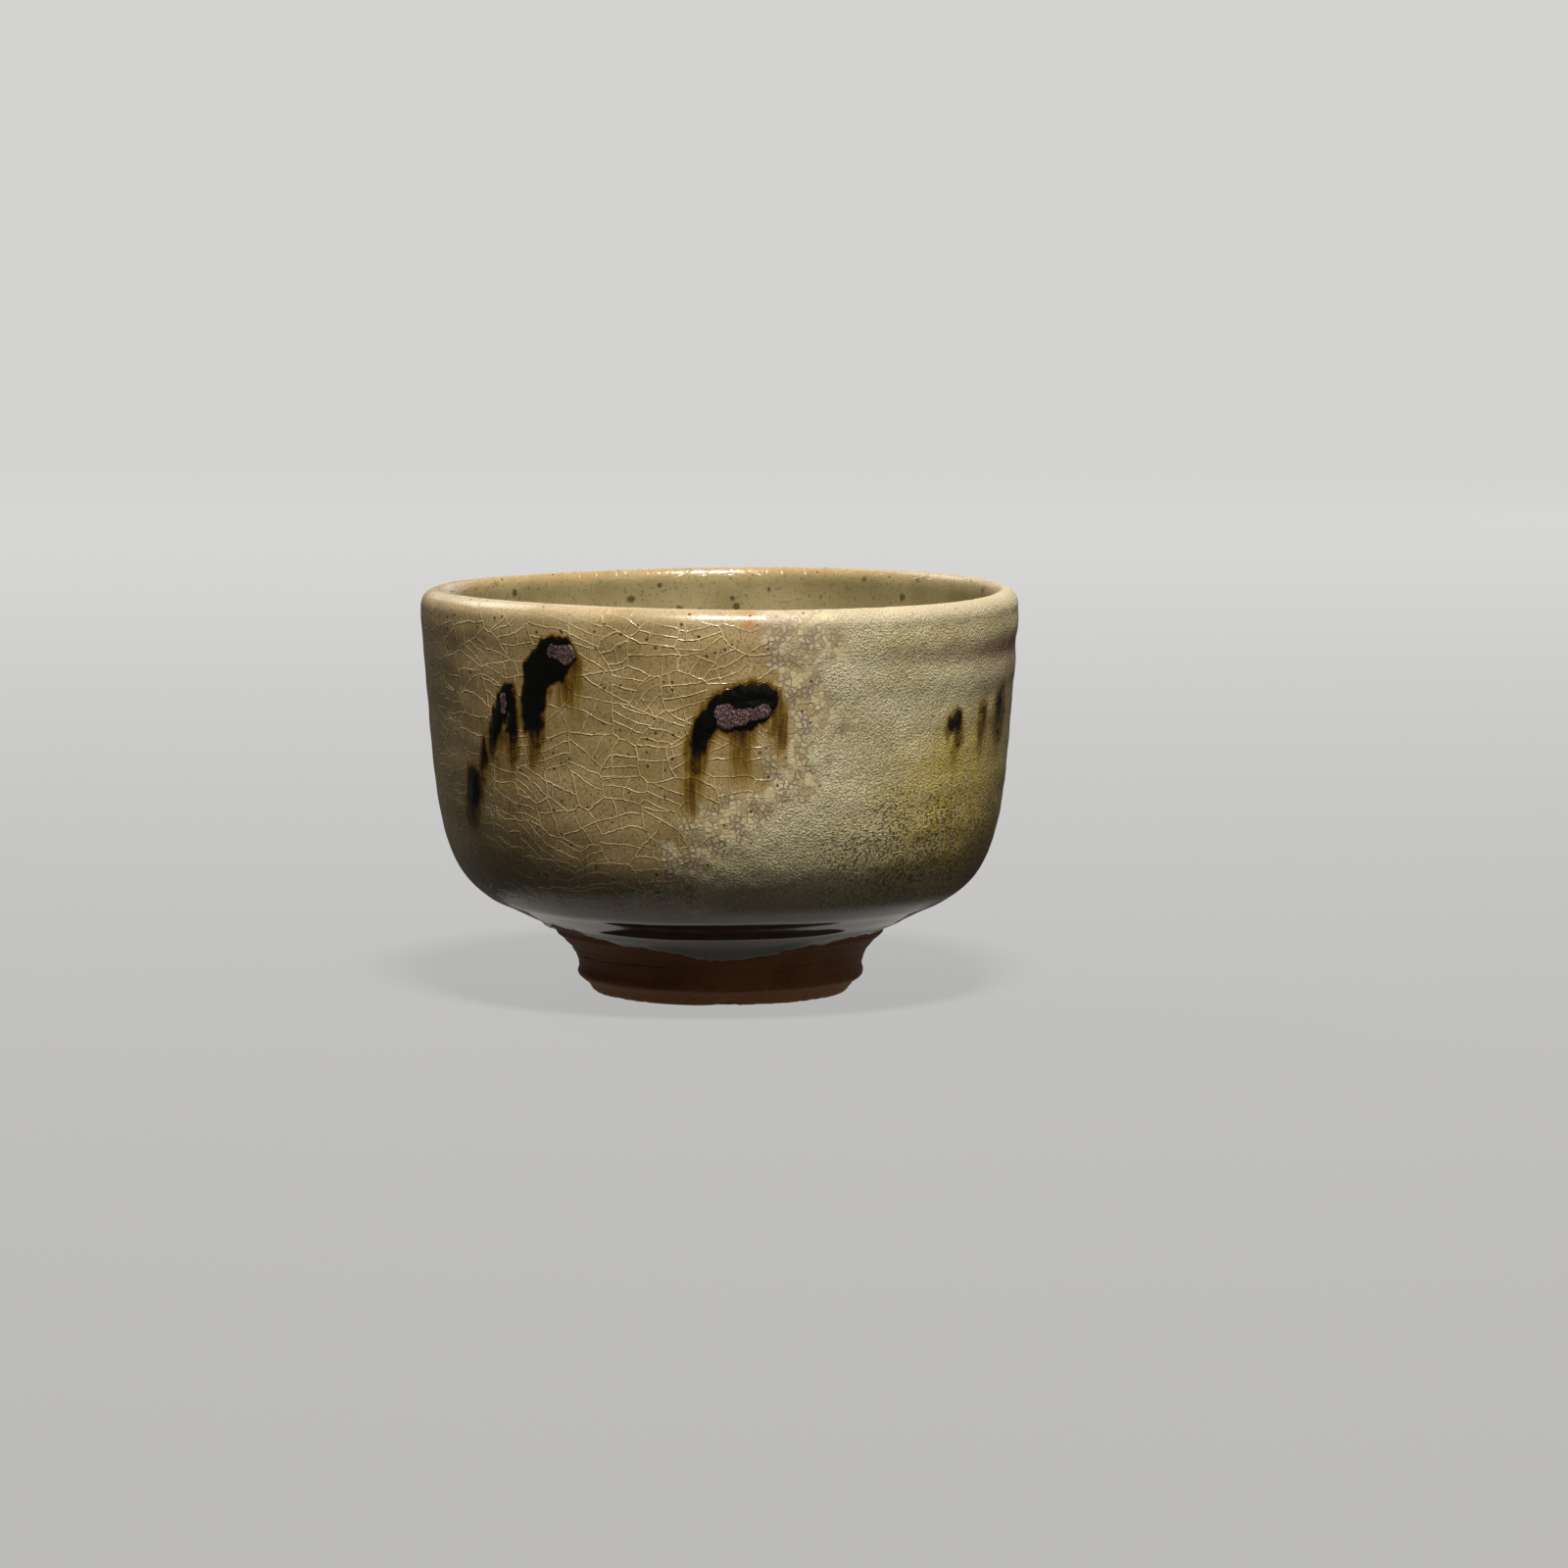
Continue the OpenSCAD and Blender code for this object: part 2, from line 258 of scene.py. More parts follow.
# Each daub: its angle, its middle height, the strokes of its black body and of its mauve patch as chains of
# (side, up, radius) spots, and its runs as (side, top, bottom, half width, strength)
DAUBS = {
    "left_1": (
        -33, 64.3,
        [[(3.1, 8, 3.1), (0.8, 7.4, 3.7), (-2.4, 4.1, 3.4), (-3.9, 0.7, 2.6), (-4.4, -3, 2.2),
          (-4.4, -6.4, 1.9), (-4, -9.4, 1)],
         [(3, 7.6, 3.2), (2.3, 4.7, 2), (0.2, 3.6, 1.7)]],
        [[(1, 8.3, 1.1), (2.6, 8, 1.5), (4.2, 8.2, 1.35), (4.1, 7.3, 1.2)]],
        [(5.4, 8.5, -1.5, 1.7, 0.5), (6.8, 7.6, -4.4, 1.1, 0.4), (3, 4.2, -4, 1.6, 0.46),
         (4.6, 3.6, -7.1, 1.3, 0.36), (-4.3, -5, -16.5, 2.3, 0.66), (-2.2, -3.5, -14, 1.1, 0.46),
         (-6.4, -4, -11, 1.2, 0.42), (6.2, -0.6, -9, 1, 0.3), (0.4, 1.6, -6, 1.1, 0.36)]),
    "left_2": (
        -45, 58.5,
        [[(2.8, 6.6, 0.8), (1.2, 5.6, 1.6), (0.6, 3.6, 2.1), (-0.9, 0.7, 1.7), (-2.8, -3, 1.25),
          (-3.9, -6.2, 0.7)],
         [(2.3, 5.4, 1.5), (2.9, 2, 1.25), (2.3, -2.6, 1), (2.3, -7.4, 0.6)]],
        [[(0.8, 4.7, 0.45), (0.5, 3.2, 0.65), (0.4, 1.9, 0.45)]],
        [(-4, -4.2, -9.6, 1.4, 0.55), (1.5, -4, -15.6, 1.1, 0.42), (-0.9, -1.5, -9.2, 1.5, 0.46),
         (3.4, -3, -9, 0.7, 0.4), (-2.2, -7, -13, 0.9, 0.3)]),
    "left_3": (
        -51.3, 50.3,
        [[(0.2, 4.1, 0.3), (0.1, 1.5, 0.9), (-0.9, -1.6, 0.9), (-1.3, -3.6, 0.5)]], [],
        [(-1.6, 0, -6.5, 1.1, 0.5), (1.2, -1, -6, 0.9, 0.4)]),
    "left_4": (
        -56.5, 42.4,
        [[(0.7, 3.9, 1.3), (0.2, 1.2, 1.75), (-0.9, -1.3, 1.45), (-1.7, -3.8, 0.7)]], [],
        [(0.4, 6.6, 1, 2, 0.62), (-1.4, -2.5, -8, 1, 0.45), (1.4, -1.5, -6, 0.8, 0.35)]),
    "front": (
        3, 58.2,
        [[(7.2, 6.6, 1.5), (6, 7.3, 1.6), (3.2, 7.2, 1.9), (0.2, 6, 2.3), (-2.4, 4.3, 2.4), (-5, 1.6, 2.1),
          (-6.4, -1.5, 1.5), (-7, -4.2, 1.1), (-7.2, -7.2, 0.6)],
         [(-3, 3.4, 2.3), (-0.7, 1.8, 1.9), (2.8, 1.9, 1.6), (5.8, 3.2, 1.8), (7.7, 5.4, 0.9)],
         [(-1, 4, 1.8), (3, 4.6, 2.2), (6, 5, 1.8)]],
        [[(-1.6, 3.3, 1.95), (-1.2, 2.3, 1.9), (1.2, 2.6, 1.5), (2.9, 2.9, 1), (4.5, 3.3, 1),
          (5.7, 3.9, 1.25)]],
        [(1.4, 1.2, -13, 3.2, 0.46), (1.2, 1, -7.5, 2.2, 0.68), (3.6, 0.6, -6, 1.4, 0.42),
         (8.5, 6, -9.5, 1.8, 0.48), (-7.2, -3, -15.5, 2, 0.56), (-8.4, -9, -18.8, 1.9, 0.46),
         (-4.9, -1.6, -8, 1, 0.34)]),
    "right_1": (
        52.7, 57.2,
        [[(-1.3, 0.4, 1.3), (0.3, 1.4, 1.4), (1.2, -0.9, 1), (1.3, -3.4, 0.6)]], [],
        [(0.9, -1, -9, 1.2, 0.4), (-2, 0.7, -6.5, 1.8, 0.34), (0, -4.4, -11.4, 2, 0.3)]),
    "right_2": (
        63, 57.6,
        [[(-0.2, 2, 1.1), (-0.3, -0.6, 0.9), (-0.4, -2.8, 0.5)]], [],
        [(-0.4, 1.5, -11.4, 1.9, 0.4), (2, 0, -9, 1.4, 0.26)]),
    "right_3": (
        72, 57.3,
        [[(-0.4, 3.6, 1.4), (-0.3, 2, 1.9), (-0.2, -0.2, 1.8), (-0.4, -2.2, 1.1)]], [],
        [(-1, 6, -12, 3.2, 0.42), (2.4, 3.5, -10, 2.2, 0.3), (-5, 1, -12, 2.2, 0.26)]),
    "back_right": (
        120, 60.6,
        [[(-6.7, 3.2, 1.2), (-2.8, 4.4, 2.2), (1, 3.3, 2.8), (4, 0.3, 2.1), (5.7, -3.8, 1.5),
          (6.3, -8, 0.7)]],
        [[(-2.4, 3.8, 1.1), (0.9, 2.9, 1.6)]],
        [(-6.4, 2.4, -8, 1.3, 0.4), (-2.4, 2.2, -7, 1.8, 0.36), (1.4, 0.8, -9, 1.6, 0.4),
         (5.9, -5, -16, 1.5, 0.5)]),
    "back_upper": (
        176, 58.4,
        [[(1, 7.6, 3.8), (-1.6, 2, 3.1), (-2.8, -3.8, 2.1), (-3.1, -8.4, 0.9)]],
        [[(0.3, 7.9, 1.4), (1.9, 7, 1.2)]],
        [(3.4, 6, -3, 1.4, 0.5), (1, 1, -6, 1.3, 0.42), (-3.2, -6, -16, 1.5, 0.55)]),
    "back_lower": (
        167, 47.4,
        [[(1.4, 5.8, 1), (0.4, 2.5, 1.9), (-1, -2, 1.2), (-1.6, -5.6, 0.5)]], [],
        [(-0.8, -2, -10, 1.2, 0.5), (1.7, 1, -6, 1, 0.4)]),
    "back_left": (
        -110, 61.4,
        [[(7.2, 4.4, 1.1), (3.8, 4.9, 1.9), (0, 3.4, 2.8), (-3.5, -0.2, 2.2), (-5.2, -5, 1.5),
          (-5.7, -9.6, 0.7)]],
        [[(3, 4.3, 0.9), (0.2, 3, 1.6)]],
        [(6.6, 3, -6, 1.3, 0.45), (3, 2.6, -8, 1.6, 0.42), (-0.4, 0, -8.5, 1.4, 0.36),
         (-5.4, -6, -18, 1.5, 0.58)]),
}
# The amber halo's width in mm and the black's depth, where not 1, and the black's spread in mm, where not 0
HALO = {"front": 1.25, "left_1": 0.5, "left_2": 0.5, "left_4": 1.4, "right_2": 1.5, "right_3": 2.4}
DEPTH = {"right_1": 0.82, "right_2": 0.66, "right_3": 0.76, "left_4": 0.95}
GROW = {"left_4": 0.8, "right_3": 0.7}


def strokes(side, up, chains):
    """Distance in mm outside the chained spots, below 0 inside them."""
    best = np.full(np.shape(side), 99.0)
    for chain in chains:
        for (x0, y0, r0), (x1, y1, r1) in zip(chain, chain[1:]):
            dx, dy = x1 - x0, y1 - y0
            t = np.clip(((side - x0) * dx + (up - y0) * dy) / (dx * dx + dy * dy), 0, 1)
            best = np.minimum(best, np.hypot(side - x0 - t * dx, up - y0 - t * dy) - (r0 + t * (r1 - r0)))
    return best


def local(name, turn, s):
    """Side and up distances in mm from a daub's middle."""
    at, mid = DAUBS[name][:2]
    return radians(1) * signed(turn - at) * R_WALL, z_at(s) - mid


def body(name, turn, s):
    """Distance outside a daub's black body, with its frayed edge."""
    side, up = local(name, turn, s)
    fray = 0.15 * pick(EDGE, turn, s) + 0.12 * pick(STREAK, turn, s) + 0.12 * pick(THREAD, turn, s)
    return strokes(side, up, DAUBS[name][2]) + fray


def iron(turn, s):
    """How much iron is in the glaze, from 0 to 1: black bodies, amber halos, and the runs under them."""
    turn, s = np.broadcast_arrays(turn, s)
    total = np.zeros(turn.shape)
    for name, (_, _, _, _, runs) in DAUBS.items():
        side, up = local(name, turn, s)
        near = (np.abs(side) < 15) & (up > -24) & (up < 16)
        if not near.any():
            continue
        t, q, x, y = turn[near], s[near], side[near], up[near]
        d = body(name, t, q) - GROW.get(name, 0)
        streak = 0.5 + 0.22 * pick(STREAK, t, q) + 0.16 * pick(THREAD, t, q)
        low = ease(2, -3, y)
        lowest = min(spot[1] - spot[2] for chain in DAUBS[name][2] for spot in chain)
        thinning = 1 - 0.55 * ease(lowest + 5.5, lowest, y)
        dark = DEPTH.get(name, 1) * ease(0.75 + 0.5 * low, -0.55, d) * thinning
        halo = (0.42 + 0.08 * low) * np.exp(-(np.maximum(d, 0) / (HALO.get(name, 1.0) + 0.5 * low)) ** 1.8)
        soak = np.maximum(dark, halo)
        for across, top, bottom, half, strength in runs:
            wave = x - across - 0.35 * pick(FINE, t, q) - 0.12 * pick(STREAK, t, q)
            run = np.exp(-np.abs(wave / half) ** 2.1) * ease(top + 1.6, top - 1.6, y)
            fade = np.clip((y - bottom) / (top - bottom), 0, 1) ** 0.6
            soak = np.maximum(soak, 1.3 * strength * run * fade * (0.76 + 0.48 * streak))
        total[near] = np.maximum(total[near], soak)
    return np.clip(total, 0, 1)


def relief(turn, s):
    """Height in mm of the glaze over the turned profile."""
    z = z_at(s)
    wall, inside = s < S_SEAM, s > S_IN
    outside = np.where(wall, 1.0, np.exp(-np.maximum(s - S_SEAM, 0) / 4))
    right = window(turn, 22, 62, 120, 190)
    centre = ease(S_END, S_END - 12, s)
    h = centre * (0.10 - 0.06 * hump(s, S_CREST, 14)) * (pick(BROAD, turn, s) + 0.5 * pick(PALM, turn, s))
    thrown = np.sin(2 * pi * (z / 7.3 + turn / 360) + 0.8 * pick(PALM, turn, s))
    h = h + outside * 0.035 * thrown * ease(26, 36, z)
    h = h - outside * (0.03 + 0.16 * right) * hump(z, GROOVE_Z, 2.1)
    h = h + outside * (0.03 + 0.12 * right) * hump(z, SWELL_Z, 3.6)
    h = h + outside * 0.15 * hump(z + 0.4 * np.sin(np.radians(turn)), LEDGE_Z, 0.9)
    grain = 0.016 * pick(GRAIN, turn, s) + 0.010 * pick(FINE, turn, s)
    dry = ease(-2, 14, dryness(turn, s)) * ease(*LIP_FADE, z) * ease(*FOOT_FADE, z)
    h = h + outside * dry * grain
    thrown = np.sin(2 * pi * (np.where(inside, s - S_IN, 0) / 9.5 - turn / 360) + 0.5 * pick(PALM, turn, s))
    h = h + inside * 0.09 * thrown * ease(S_IN, S_IN + 12, s) * ease(S_END - 2, S_END - 14, s)
    return h + 0.012 * centre * pick(FINE, turn, s) * np.where(wall, ease(*FOOT_FADE, z), 1)


def edge_step(turn, s):
    """The outer glaze's thickness less its full thickness, near its edge over the foot."""
    d = s - edge_s(turn)
    pool = 0.14 + 0.34 * hump(signed(turn), 4, 13) + 0.10 * pick(PALM, turn, 5.0)
    t = COAT_T * (1 - np.exp(-np.maximum(d, 0) / 0.4)) + pool * hump(d, 1.0, 0.85)
    return t * ease(0, 0.25, d) - COAT_T


def warp(turn, r, z):
    """The whole bowl is a little out of true: the rim dips at the front right."""
    lift = -0.35 * np.sin(2 * np.radians(turn)) * (z / TOP) ** 2
    push = 1 + 0.0022 * np.cos(2 * np.radians(turn) + 0.7) * (z / TOP)
    return r * push, z + lift


def spun(turn, r, z):
    """Points at an angle, a radius and a height."""
    a = np.radians(turn)
    return np.stack(np.broadcast_arrays(r * np.sin(a), -r * np.cos(a), z), -1)


def place(turn, s, up):
    """Points in metres on the skin, up mm off the turned profile."""
    r = np.interp(s, SKIN_S, SKIN[:, 0]) + up * np.interp(s, SKIN_S, SKIN_NORMALS[:, 0])
    z = np.interp(s, SKIN_S, SKIN[:, 1]) + up * np.interp(s, SKIN_S, SKIN_NORMALS[:, 1])
    return spun(turn, *warp(turn, np.maximum(r, 0), z)) * MM


def skin(turn, s):
    """The glaze's own surface."""
    up = relief(turn, s)
    return place(turn, s, up + np.where(s < S_SEAM - 20, edge_step(turn, s), 0))


# ---- meshes

SEAM = 130  # the angle where the columns start and the UV map is cut, clear of every daub


def shown(name, data):
    """A new object in the scene."""
    obj = bpy.data.objects.new(name, data)
    bpy.context.scene.collection.objects.link(obj)
    return obj


def mesh_of(name, points, quads, uvs, colours, normals=None):
    """An object from points, quads, a UV pair for each quad's corner, and colour masks for each point."""
    mesh = bpy.data.meshes.new(name)
    mesh.from_pydata(points.tolist(), [], quads.tolist())
    layer = mesh.uv_layers.new(name="glaze")
    layer.data.foreach_set("uv", uvs.reshape(-1).astype(np.float32))
    for key, rgba in colours.items():
        attribute = mesh.attributes.new(key, "FLOAT_COLOR", "POINT")
        attribute.data.foreach_set("color", rgba.reshape(-1).astype(np.float32))
    mesh.shade_smooth()
    if normals is not None:
        mesh.normals_split_custom_set_from_vertices(normals.tolist())
    return shown(name, mesh)


def turns(count):
    """The angles of the columns."""
    return SEAM - 360 + np.arange(count) * 360 / count


def u_of(turn):
    """Where an angle lies across the unrolled skin."""
    return np.radians(turn) * R_WALL / UV_MM


def grid_quads(m, n, shut=False):
    """Quads between m rows of n points that go round; shut joins the last row to the first."""
    i = np.arange(m if shut else m - 1)[:, None]
    j = np.arange(n)[None, :]
    i1, j1 = (i + 1) % m, (j + 1) % n
    return np.stack([i * n + j, i * n + j1, i1 * n + j1, i1 * n + j], -1).reshape(-1, 4)


def wrapped(name, rows, skin_s, colours=None, shut=True, normals=None):
    """A solid from rows of points that go round the bowl, each row at its distance along the skin."""
    m, n = rows.shape[:2]
    quads = grid_quads(m, n, shut)
    bands = len(quads) // n
    u, v = u_of(np.append(turns(n), SEAM)), np.append(skin_s, skin_s[0]) / UV_MM
    left, right = (np.broadcast_to(edge, (bands, n)) for edge in (u[:-1], u[1:]))
    low, high = (np.broadcast_to(edge[:bands, None], (bands, n)) for edge in (v, v[1:]))
    corners = [np.stack(pair, -1) for pair in ((left, low), (right, low), (right, high), (left, high))]
    uvs = np.stack(corners, 2).reshape(-1, 4, 2)
    colours = {k: c.reshape(-1, 4) for k, c in (colours or {}).items()}
    normals = None if normals is None else normals.reshape(-1, 3)
    return mesh_of(name, rows.reshape(-1, 3), quads, uvs, colours, normals)


def grid_normals(points):
    """Normals of a grid that closes along its columns."""
    du = np.roll(points, -1, 1) - np.roll(points, 1, 1)
    dv = np.gradient(points, axis=0)
    n = np.cross(du, dv)
    size = np.linalg.norm(n, axis=-1, keepdims=True)
    return np.where(size > 1e-12, n / np.maximum(size, 1e-12), (0, 0, 1))


def masks(turn, s):
    """Colour masks of the skin, four to an attribute; a mauve patch's own mask, the twelfth, is 0 here."""
    turn, s = np.broadcast_arrays(signed(turn), s)
    z = z_at(s)
    d = dryness(turn, s)
    outer = ease(S_CREST + 1.5, S_CREST - 1.5, s)
    dry = ease(1, 15, d) * outer
    spots = ease(-7, 2, d) * ease(24, 8, d) * outer
    uneven = pick(FINGER, turn, s)
    yellow = window(turn, 14, 60, 130, 190) * (hump(z, 40, 14) * 0.75 + 0.5 * hump(z, 30, 9))
    yellow = yellow + 1.1 * hump(turn, 55, 12) * hump(z, 49, 9)
    yellow = yellow + 0.3 * hump(z, 76, 4) * window(turn, 20, 50, 130, 190)
    speck = window(turn, 6, 46, 130, 190) * ease(56, 30, z) * ease(16, 22, z) * (0.95 + 0.25 * uneven)
    purple = window(turn, 28, 62, 150, 200) * hump(z, GROOVE_Z + 0.4, 2.0) * 0.62
    broad = window(turn, 50, 84, 140, 185) * ease(78, 70, z)
    purple = purple + broad * (0.5 + 0.12 * pick(PALM, turn, s))
    purple = purple + 0.2 * spots * ease(60, 74, z) * (0.5 + 0.5 * uneven)
    cream = hump(s, S_CREST - 2.0, 3.8) * (0.8 + 0.1 * uneven) * (0.7 + 0.3 * ease(-12, 12, d))
    amber = hump(s, S_CREST + 1.4, 1.1) * (0.6 + 0.25 * uneven) * (1 - 0.65 * window(turn, 20, 60, 142, 168))
    inside = ease(S_CREST + 0.3, S_CREST + 3.4, s)
    rust = hump(np.hypot(turn - RUST_TURN, (z - RUST_Z) * 0.9), 0, 1.5) * outer
    gloss = ease(24, 18, z) * outer
    soak = np.where(s < S_SEAM, iron(turn, s), 0)
    fours = {"zone": [dry, spots, yellow, speck], "stain": [soak, purple, cream, amber],
             "more": [inside, rust, gloss, 0 * gloss]}
    return {key: np.clip(np.stack(four, -1), 0, 1) for key, four in fours.items()}


# Distances in mm from the glaze's edge over the foot to the first rows, close where its thickness grows
EDGE_ROWS = np.array([0, 0.05, 0.13, 0.25, 0.42, 0.65, 0.95, 1.3, 1.75])[:, None]
SPAN = {"lip_glaze_coat": (S_SEAM, S_IN), "inner_glaze_coat": (S_IN, S_END)}


def skin_piece(name, columns, skin_rows, back_rows, backing):
    """A closed coat of glaze: its skin, and its back against the clay, backing mm under the skin."""
    t = turns(columns)[None, :]
    if name in SPAN:
        s, back = (np.linspace(*SPAN[name], rows)[:, None] + 0 * t for rows in (skin_rows, back_rows))
    else:
        edge = edge_s(t)
        near_edge = edge + EDGE_ROWS
        share = np.linspace(0, 1, skin_rows - len(EDGE_ROWS) + 1)[1:, None]
        s = np.r_[near_edge, near_edge[-1] + share * (S_SEAM - edge - EDGE_ROWS[-1])]
        back = edge + np.linspace(0, 1, back_rows)[:, None] * (S_SEAM - edge)
    back = back[::-1]
    turn, back_turn = np.broadcast_to(t, s.shape), np.broadcast_to(t, back.shape)
    top = skin(turn, s)
    under = place(back_turn, back, np.full(back.shape, -backing))
    before, after = skin(turn[:1], s[:1] - 0.5), skin(turn[:1], np.minimum(s[-1:] + 0.5, S_END))
    normals = np.r_[grid_normals(np.r_[before, top, after])[1:-1], grid_normals(under)]
    front_masks, back_masks = masks(turn, s), masks(back_turn, back)
    colours = {k: np.concatenate([front_masks[k], back_masks[k]]) for k in front_masks}
    return wrapped(name, np.r_[top, under], np.r_[s.mean(1), back.mean(1)], colours, normals=normals)


SINK = 0.18  # mm that a daub or patch reaches under the glaze's skin
REACH = 0.5  # mm that it reaches past its outline, where it dips under the skin


def patch_piece(name, daub, part, height, step):
    """A daub's black body or its mauve patch: a closed blob over the skin, whose edge dips under it."""
    at, mid, bodies, patches, _ = DAUBS[daub]
    chains = patches if part == "mauve" else bodies
    spots = np.array([p for c in chains for p in c])
    low_left = (spots[:, :2] - spots[:, 2:]).min(0) - 1
    high_right = (spots[:, :2] + spots[:, 2:]).max(0) + 1
    side, up = np.meshgrid(*(np.arange(a, b, step) for a, b in zip(low_left, high_right)))
    turn = at + np.degrees(side / R_WALL)
    s = s_at(mid + up)
    d = strokes(side, up, chains) + 0.14 * pick(EDGE, turn, s) if part == "mauve" else body(daub, turn, s)
    held = d < REACH
    # Only the largest joined part, so that no stray crumbs are left
    i, j = np.nonzero(largest(held[:-1, :-1] & held[1:, :-1] & held[:-1, 1:] & held[1:, 1:]))
    n = side.shape[1]
    corner = np.stack([i * n + j, i * n + j + 1, (i + 1) * n + j + 1, (i + 1) * n + j], -1)
    used = np.unique(corner)
    m = len(used)
    index = np.full(side.size, -1)
    index[used] = np.arange(m)
    base = relief(turn, s)
    layers = place(turn, s, base + height(d, turn, s)), place(turn, s, base - SINK)
    points = np.concatenate([layer.reshape(-1, 3)[used] for layer in layers])
    top = index[corner]
    edges = {(a, b) for q in top.tolist() for a, b in zip(q, q[1:] + q[:1])}
    rim = [(b, a, a + m, b + m) for a, b in sorted(edges) if (b, a) not in edges]
    quads = np.r_[top, top[:, ::-1] + m, rim]
    colours = {k: np.tile(c.reshape(-1, 4)[used], (2, 1)) for k, c in masks(turn, s).items()}
    if part == "mauve":
        colours["more"][:, 3] = 1
    unrolled = np.where(turn >= SEAM, turn - 360, turn)
    uv = np.tile(np.stack([u_of(unrolled), s / UV_MM], -1).reshape(-1, 2)[used], (2, 1))
    return mesh_of(name, points, quads, uv[quads], colours)


def largest(cell):
    """Only the largest joined group of cells."""
    label = np.where(cell, np.arange(1, cell.size + 1).reshape(cell.shape), 0)
    before = None
    while not np.array_equal(before, label):
        before, wide = label, np.pad(label, 1)
        beside = wide[:-2, 1:-1], wide[2:, 1:-1], wide[1:-1, :-2], wide[1:-1, 2:]
        label = np.where(cell, np.max([label, *beside], 0), 0)
    names, counts = np.unique(label[label > 0], return_counts=True)
    return label == names[np.argmax(counts)]


# ---- materials


def lin(rgb):
    """A colour out of 255 as the linear colour that nodes take."""
    c = np.array(rgb, float) / 255
    c = np.where(c <= 0.04045, c / 12.92, ((c + 0.055) / 1.055) ** 2.4)
    return (*c.tolist(), 1.0)


class Paint:
    """A material, and short calls that add its nodes."""

    def __init__(self, name):
        self.mat = bpy.data.materials.new(name)
        self.mat.use_nodes = True
        self.tree = self.mat.node_tree
        self.tree.nodes.clear()

    def add(self, kind, ins=(), out=0, **settings):
        """Adds a node, links or sets its inputs, and gives the socket of one output."""
        node = self.tree.nodes.new("ShaderNode" + kind)
        for key, value in settings.items():
            setattr(node, key, value)
        for key, value in dict(ins).items():
            if isinstance(value, bpy.types.NodeSocket):
                self.tree.links.new(value, node.inputs[key])
            else:
                node.inputs[key].default_value = value
        return node.outputs[out]

    def math(self, operation, a, b=0.0, clamp=False):
        return self.add("Math", {0: a, 1: b}, operation=operation, use_clamp=clamp)

    def fold(self, operation, values):
        """One operation over the values, from the first to the last."""
        out = values[0]
        for value in values[1:]:
            out = self.math(operation, out, value)
        return out

    def mul(self, *values):
        return self.fold("MULTIPLY", values)

    def plus(self, *values):
        return self.fold("ADD", values)

    def less(self, *values):
        return self.fold("SUBTRACT", values)

    def most(self, *values):
        return self.fold("MAXIMUM", values)

    def least(self, *values):
        return self.fold("MINIMUM", values)

    def size(self, value):
        return self.math("ABSOLUTE", value)

    def scaled(self, vector, scale):
        return self.add("VectorMath", {0: vector, "Scale": scale}, operation="SCALE")

    def times(self, vector, xyz):
        return self.add("VectorMath", {0: vector, 1: xyz}, operation="MULTIPLY")

    def moved(self, a, b):
        return self.add("VectorMath", {0: a, 1: b}, operation="ADD")

    def step(self, value, a, b, to0=0.0, to1=1.0):
        """From to0 at a to to1 at b, with soft ends."""
        return self.add("MapRange", {0: value, 1: a, 2: b, 3: to0, 4: to1}, interpolation_type="SMOOTHSTEP")

    def mix(self, factor, a, b, blend="MIX"):
        a = a if isinstance(a, bpy.types.NodeSocket) else lin(a)
        b = b if isinstance(b, bpy.types.NodeSocket) else lin(b)
        return self.add("Mix", {0: factor, 6: a, 7: b}, out=2, data_type="RGBA", blend_type=blend)

    def noise(self, vector, scale, detail=2.0, rough=0.5, out=0):
        ins = {"Vector": vector, "Scale": scale, "Detail": detail, "Roughness": rough}
        return self.add("TexNoise", ins, out=out)

    def cells(self, vector, scale, feature="F1", out=0, flat=False, spread=1.0):
        return self.add("TexVoronoi", {"Vector": vector, "Scale": scale, "Randomness": spread}, out=out,
                        feature=feature, voronoi_dimensions="2D" if flat else "3D")

    def chances(self, vector, scale, **how):
        """Three random numbers from 0 to 1 for each cell."""
        return self.add("SeparateColor", {0: self.cells(vector, scale, out=1, **how)}).node.outputs

    def ramp(self, value, stops):
        out = self.add("ValToRGB", {0: value})
        elements = out.node.color_ramp.elements
        while len(elements) < len(stops):
            elements.new(0.5)
        for element, (at, rgb) in zip(elements, stops):
            element.position = at
            element.color = lin(rgb)
        return out

    def attribute(self, name):
        """The four numbers of a colour attribute."""
        four = self.add("Attribute", attribute_name=name).node.outputs
        return (*self.add("SeparateColor", {0: four["Color"]}).node.outputs[:3], four["Alpha"])

    def output(self, shader):
        """Ends the material in a shader."""
        end = self.tree.nodes.new("ShaderNodeOutputMaterial")
        self.tree.links.new(shader, end.inputs[0])
        return self.mat

    def finish(self, colour, rough, height, **fixed):
        """Ends the material in a surface with these looks; height is in mm."""
        bump = self.add("Bump", {"Height": height, "Strength": 1.0, "Distance": MM})
        ins = {"Base Color": colour, "Roughness": rough, "Normal": bump}
        return self.output(self.add("BsdfPrincipled", {**ins, **fixed}))


# Colours as (red, green, blue) out of 255; of a pair, the first is the darker
# The crack colour is the cracks' own pale colour together with painted highlight on their raised ridges
GROUND, MOTTLE, FLECK, CRACK_AND_HIGHLIGHT = ((148, 127, 83), (168, 146, 102)), (114, 89, 47), (92, 70, 38), (222, 205, 162)
LILAC, SPOT = ((142, 125, 92), (125, 113, 103)), ((164, 148, 114), (196, 182, 142))
LILAC_TOP = (150, 139, 116)
